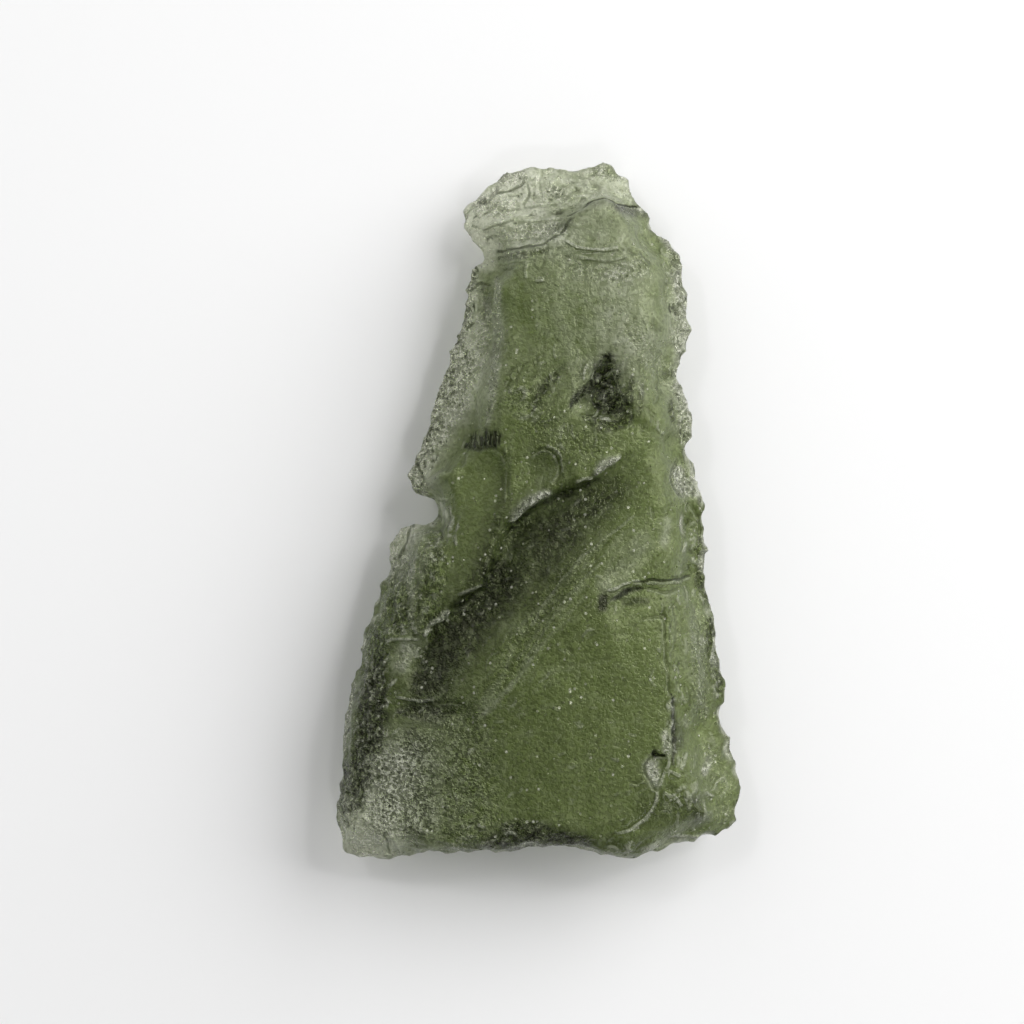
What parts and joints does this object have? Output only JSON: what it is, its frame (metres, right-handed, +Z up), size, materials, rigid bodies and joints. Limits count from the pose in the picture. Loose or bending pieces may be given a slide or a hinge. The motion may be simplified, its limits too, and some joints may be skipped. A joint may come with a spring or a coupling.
{
  "type": "moldavite",
  "caption": "Raw natural green impact glass: a flat, tapering flake with thin scalloped edges, a deep diagonal flute and a pitted back, lying on a small flat spot.",
  "frame": {"origin": "on the surface the stone rests on, under the middle of its outline", "axes": "+Y towards the thin pale tip, +Z up out of the broad front, +X to the right in the picture"},
  "size_m": [0.0204, 0.035, 0.0072],
  "materials": {
    "moldavite_glass": "dull etched skin over see-through green glass"
  },
  "bodies": {
    "root": {"moldavite": "moldavite_glass"}
  },
  "joints": []
}
